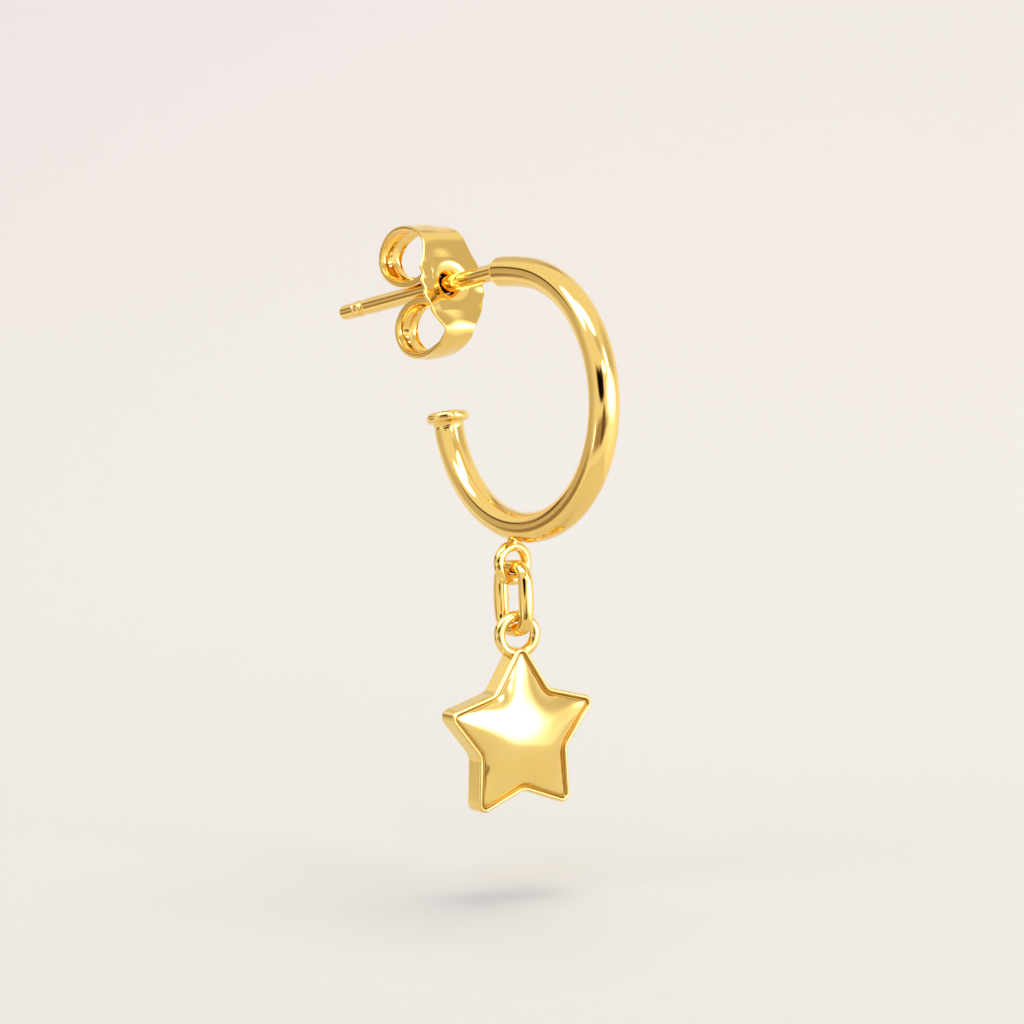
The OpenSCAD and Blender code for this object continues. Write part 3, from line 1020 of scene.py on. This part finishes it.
def gold_finish(name, gold, roughness, haze, scale, bump, crease_shade=False):
    """Polished gold: the traces group into a metallic Principled shader and a bump.

    A piece with crease shade goes over to a painted dark shade where its attribute says crease.
    """
    material = bpy.data.materials.new(name)
    material.use_nodes = True
    tree = material.node_tree
    shader = tree.nodes["Principled BSDF"]
    shader.inputs["Metallic"].default_value = 1
    place = add_node(tree, "TexCoord")
    traces = add_node(tree, "Group", node_tree=TRACES)
    traces.inputs["Gold"].default_value = gold
    traces.inputs["Deep gold"].default_value = DEEP_GOLD
    traces.inputs["Roughness"].default_value = roughness
    traces.inputs["Haze"].default_value = haze
    traces.inputs["Scale"].default_value = scale
    relief = add_node(tree, "Bump")
    relief.inputs["Strength"].default_value = BUMP_STRENGTH
    relief.inputs["Distance"].default_value = bump * MM
    tree.links.new(place.outputs["Object"], traces.inputs["Vector"])
    colour = traces.outputs["Color"]
    if crease_shade:
        # painted shade: a dark colour mixed in where the crease attribute is high
        crease = add_node(tree, "Attribute", attribute_name="crease").outputs["Fac"]
        colour = colour_mix(tree, crease, colour, CREASE_SHADE_COLOUR)
    tree.links.new(colour, shader.inputs["Base Color"])
    tree.links.new(traces.outputs["Roughness"], shader.inputs["Roughness"])
    tree.links.new(traces.outputs["Height"], relief.inputs["Height"])
    tree.links.new(relief.outputs["Normal"], shader.inputs["Normal"])
    return material


finishes = {
    "hoop": gold_finish("polished tube gold", TUBE_GOLD, 0.03, 0.03, 700, 0.003),
    "butterfly_back": gold_finish("polished sheet gold", SHEET_GOLD, 0.06, 0.05, 900, 0.005),
    "oval_link": gold_finish("polished wire gold", WIRE_GOLD, 0.03, 0.03, 900, 0.003),
    "star_charm": gold_finish(
        "polished cast gold", CAST_GOLD, 0.12, 0.04, 600, 0.003, crease_shade=True
    ),
}
for piece, node in (
    (hoop, "hoop"), (back_piece, "butterfly_back"), (link, "oval_link"), (charm, "star_charm")
):
    piece.data.materials.append(finishes[node])
    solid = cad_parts[node]
    solid.data.materials.clear()
    solid.data.materials.append(finishes[node])
print("finishes:", [material.name for material in finishes.values()])

# %% [markdown]
# Metal shows its surroundings, so the studio matters as much as the gold. A plain pale
# sheet of paper lies under the earring and rises slowly behind it. A tight bend would show
# as a grey band, so the rise is spread over the whole depth: height = run^2 / (2 * radius).

# %% Paper sweep
FLOOR_Z = -28.2
PAPER_HALF_W = 23.5
PAPER_SPREAD = 0.155
PAPER_FRONT = 32
PAPER_FLAT = 60
PAPER_BACK = 420
PAPER_BEND = 600


def paper_points(rows=80, cols=3):
    """A level line that turns into a rising parabola, carried sideways.

    The sheet widens towards the back, as far as the camera sees: half width + spread * run.
    """
    reach = np.linspace(-PAPER_FRONT, PAPER_BACK, rows)
    height = np.maximum(reach - PAPER_FLAT, 0) ** 2 / (2 * PAPER_BEND)
    half = PAPER_HALF_W + PAPER_SPREAD * (reach + PAPER_FRONT)
    side = half[:, None] * np.linspace(-1, 1, cols)
    away = -np.array([back.x, back.y]) / math.hypot(back.x, back.y)
    right = np.array([-away[1], away[0]])
    flat = reach[:, None, None] * away + side[:, :, None] * right
    z = np.broadcast_to(FLOOR_Z + height[:, None, None], flat.shape[:2] + (1,))
    return np.concatenate([flat, z], -1).reshape(-1, 3), grid_quads(
        len(reach), cols, closed=False
    )


paper = piece_from_shells("paper_sweep", [paper_points()])

# %% [markdown]
# The paper is not one even white. It goes from a cooler tone in front to a warmer one
# behind, with a faint blush in the upper left. Each change of tone eases along one level
# direction, so it needs only a place along that direction, in millimetres.

# %% Paper colour
PAPER_NEAR = (0.44, 0.413, 0.345, 1)
PAPER_FAR = (0.43, 0.39, 0.318, 1)
PAPER_BLUSH = (0.435, 0.384, 0.322, 1)
FAR_FROM, FAR_FULL = -20, 330
BLUSH_FROM, BLUSH_FULL = 130, 230

level_away = Vector((-back.x, -back.y, 0)).normalized()
level_left = Vector((0, 0, 1)).cross(level_away)
paper_finish = bpy.data.materials.new("pale paper")
paper_finish.use_nodes = True
paper_tree = paper_finish.node_tree
paper_shader = paper_tree.nodes["Principled BSDF"]
paper_place = add_node(paper_tree, "TexCoord").outputs["Object"]
paper_tone = PAPER_NEAR
for way, start, end, over in (
    (level_away, FAR_FROM, FAR_FULL, PAPER_FAR),
    (level_away * 0.5 + level_left, BLUSH_FROM, BLUSH_FULL, PAPER_BLUSH),
):
    along = add_node(paper_tree, "VectorMath", operation="DOT_PRODUCT")
    along.inputs[1].default_value = way
    paper_tree.links.new(paper_place, along.inputs[0])
    share = eased(paper_tree, along.outputs["Value"], start * MM, end * MM)
    paper_tone = colour_mix(paper_tree, share, paper_tone, over)
paper_tree.links.new(paper_tone, paper_shader.inputs["Base Color"])
paper_shader.inputs["Roughness"].default_value = 0.9
paper_shader.inputs["Specular IOR Level"].default_value = 0.1
paper.data.materials.append(paper_finish)
print("paper nodes:", len(paper_tree.nodes))

# %% [markdown]
# The light is a white room, and its mirror image is what draws the metal: bright soft boxes
# beside and above the camera, the dark opening it looks through, and shade at the side. A
# world shader can hold all of them, because each is a soft oval patch of directions. The
# mask of such a patch is one node group. It measures a direction across and up, in half
# widths and half heights of the patch, and eases from 1 to 0 round the patch's edge.

# %% Soft patch as a node group
ways = {label: "Vector" for label in ("Direction", "Across", "Up", "Ahead")}
PATCH, aim_in, mask_out = new_group("soft patch", {**ways, "Edge": "Float"}, {"Mask": "Float"})


def part_along(label):
    """The direction's part along one of the group's vectors, as a dot product."""
    part = add_node(PATCH, "VectorMath", operation="DOT_PRODUCT")
    PATCH.links.new(aim_in.outputs["Direction"], part.inputs[0])
    PATCH.links.new(aim_in.outputs[label], part.inputs[1])
    return part.outputs["Value"]


spot = add_node(PATCH, "CombineXYZ")
off_middle = add_node(PATCH, "VectorMath", operation="LENGTH")
in_front = add_node(PATCH, "Math", operation="GREATER_THAN")
outer = add_node(PATCH, "Math", operation="ADD")
inner = add_node(PATCH, "Math", operation="SUBTRACT")
ease = add_node(PATCH, "MapRange", interpolation_type="SMOOTHSTEP")
both = add_node(PATCH, "Math", operation="MULTIPLY")
in_front.inputs[1].default_value = 0
outer.inputs[0].default_value = 1
inner.inputs[0].default_value = 1
for out, into in (
    (part_along("Across"), spot.inputs[0]),
    (part_along("Up"), spot.inputs[1]),
    (part_along("Ahead"), in_front.inputs[0]),
    (spot.outputs[0], off_middle.inputs[0]),
    (aim_in.outputs["Edge"], outer.inputs[1]),
    (aim_in.outputs["Edge"], inner.inputs[1]),
    (off_middle.outputs["Value"], ease.inputs["Value"]),
    (outer.outputs[0], ease.inputs["From Min"]),
    (inner.outputs[0], ease.inputs["From Max"]),
    (ease.outputs["Result"], both.inputs[0]),
    (in_front.outputs[0], both.inputs[1]),
    (both.outputs[0], mask_out.inputs["Mask"]),
):
    PATCH.links.new(out, into)
print("patch nodes:", len(PATCH.nodes))

# %% [markdown]
# The room is painted from the back to the front: first its even white, then the shades,
# then the bright boxes, and last the dark table edge and the opening for the camera. Each
# row names a patch and gives its azimuth, elevation, half width and half height in degrees,
# then how soft its edge is and its brightness.

# %% Patches of light and shade
ROOM = 0.97
PATCHES = (
    ("side wall shade", 300, 6, 36, 15, 0.6, 0.62),
    ("side shade, upper line", 314, 17, 18, 4, 0.5, 0.12),
    ("side shade, far line", 289, 10, 14, 4, 0.5, 0.18),
    ("side shade, lower line", 318, -18, 20, 11, 0.4, 0.36),
    ("rear high shade", 240, 50, 18, 10, 0.5, 0.45),
    ("right low shade", 154, 0, 9, 5, 0.5, 0.65),
    ("shade over the camera", 64, 42, 14, 8, 0.5, 0.7),
    ("rear side shade", 254, 38, 20, 18, 0.5, 0.72),
    ("glow of the key box", 116, -10, 40, 22, 0.8, 1.35),
    ("right wall shade", 140, 27, 26, 18, 0.5, 0.7),
    ("key box, upper", 101, 27, 9, 11, 0.4, 4.2),
    ("key box, lower", 107, 5, 25, 13, 0.65, 3.8),
    ("front box", 353, 42, 13, 15, 0.15, 4.0),
    ("top box", 38, 56, 20, 10, 0.2, 4.0),
    ("low strip", 351, -12, 4, 4, 0.3, 3.0),
    ("small box", 69, 24, 9, 4, 0.3, 4.0),
    ("table edge", 36, -18, 40, 9, 0.35, 0.42),
    ("table edge by the camera", 50, -15, 12, 13, 0.4, 0.16),
    ("opening, right", 44, 15, 9, 6, 0.4, 0.05),
    ("camera opening", 30, 8, 22, 9, 0.3, 0.006),
)
print("patches:", len(PATCHES), "brightest:", max(patch[-1] for patch in PATCHES))

# %% [markdown]
# The world shader mixes the patches' levels over each other, one after the next, and uses
# the last level as its strength. Dim places are also warmer, as shaded walls are, and the
# boxes a little cooler, so that their images on the yellow metal go from cream to white.

# %% Paint the room
WARM_SHADE = (1, 0.72, 0.5, 1)
ROOM_WHITE = (1, 0.985, 0.97, 1)
BOX_WHITE = (0.94, 1.06, 1.6, 1)
SHADE_LEVEL, WHITE_LEVEL = 0.2, 0.9
COOL_FROM, COOL_FULL = 1, 2.2


def patch_mask(azimuth, elevation, half_w, half_h, edge):
    """Mask of an oval of directions round an azimuth and elevation, all in degrees."""
    a, e = math.radians(azimuth), math.radians(elevation)
    ahead_way = Vector((math.sin(a) * math.cos(e), -math.cos(a) * math.cos(e), math.sin(e)))
    across_way = Vector((math.cos(a), math.sin(a), 0))
    mask = add_node(sky, "Group", node_tree=PATCH)
    mask.inputs["Ahead"].default_value = ahead_way
    mask.inputs["Across"].default_value = across_way / math.sin(math.radians(half_w))
    mask.inputs["Up"].default_value = (
        ahead_way.cross(across_way).normalized() / math.sin(math.radians(half_h))
    )
    mask.inputs["Edge"].default_value = edge
    sky.links.new(direction, mask.inputs["Direction"])
    return mask.outputs["Mask"]


world = bpy.data.worlds.new("studio")
bpy.context.scene.world = world
world.use_nodes = True
sky = world.node_tree
surroundings = sky.nodes["Background"]
direction = add_node(sky, "TexCoord").outputs["Generated"]
light_level = None
for label, *oval, level in PATCHES:
    mix = add_node(sky, "Mix", data_type="FLOAT", label=label)
    mix.inputs["A"].default_value = ROOM
    mix.inputs["B"].default_value = level
    sky.links.new(patch_mask(*oval), mix.inputs["Factor"])
    if light_level:
        sky.links.new(light_level, mix.inputs["A"])
    light_level = mix.outputs["Result"]
whiteness = eased(sky, light_level, SHADE_LEVEL, WHITE_LEVEL)
coolness = eased(sky, light_level, COOL_FROM, COOL_FULL)
tint = colour_mix(sky, whiteness, WARM_SHADE, ROOM_WHITE)
tint = colour_mix(sky, coolness, tint, BOX_WHITE)
sky.links.new(tint, surroundings.inputs["Color"])
sky.links.new(light_level, surroundings.inputs["Strength"])
print("world nodes:", len(sky.nodes))

# %% [markdown]
# One broad lamp overhead casts the soft shadow on the paper, straight below the earring. It
# is kept out of the mirror images, because the patches already draw all that the metal shows.

# %% Overhead lamp
LAMP_SIDE = 300
LAMP_WATTS = 2.4
LAMP_UP, LAMP_AWAY, LAMP_RIGHT = 500, 110, 60

lamp_data = bpy.data.lights.new("overhead_box", "AREA")
lamp_data.size = LAMP_SIDE * MM
lamp_data.energy = LAMP_WATTS
lamp = bpy.data.objects.new("overhead_box", lamp_data)
lamp_place = Vector((0, 0, LAMP_UP)) + LAMP_AWAY * level_away - LAMP_RIGHT * level_left
lamp.location = AIM + lamp_place * MM
lamp.rotation_mode = "QUATERNION"
lamp.rotation_quaternion = (AIM - lamp.location).to_track_quat("-Z", "Y")
lamp.visible_glossy = False
bpy.context.scene.collection.objects.link(lamp)
print("lamp watts:", lamp_data.energy)
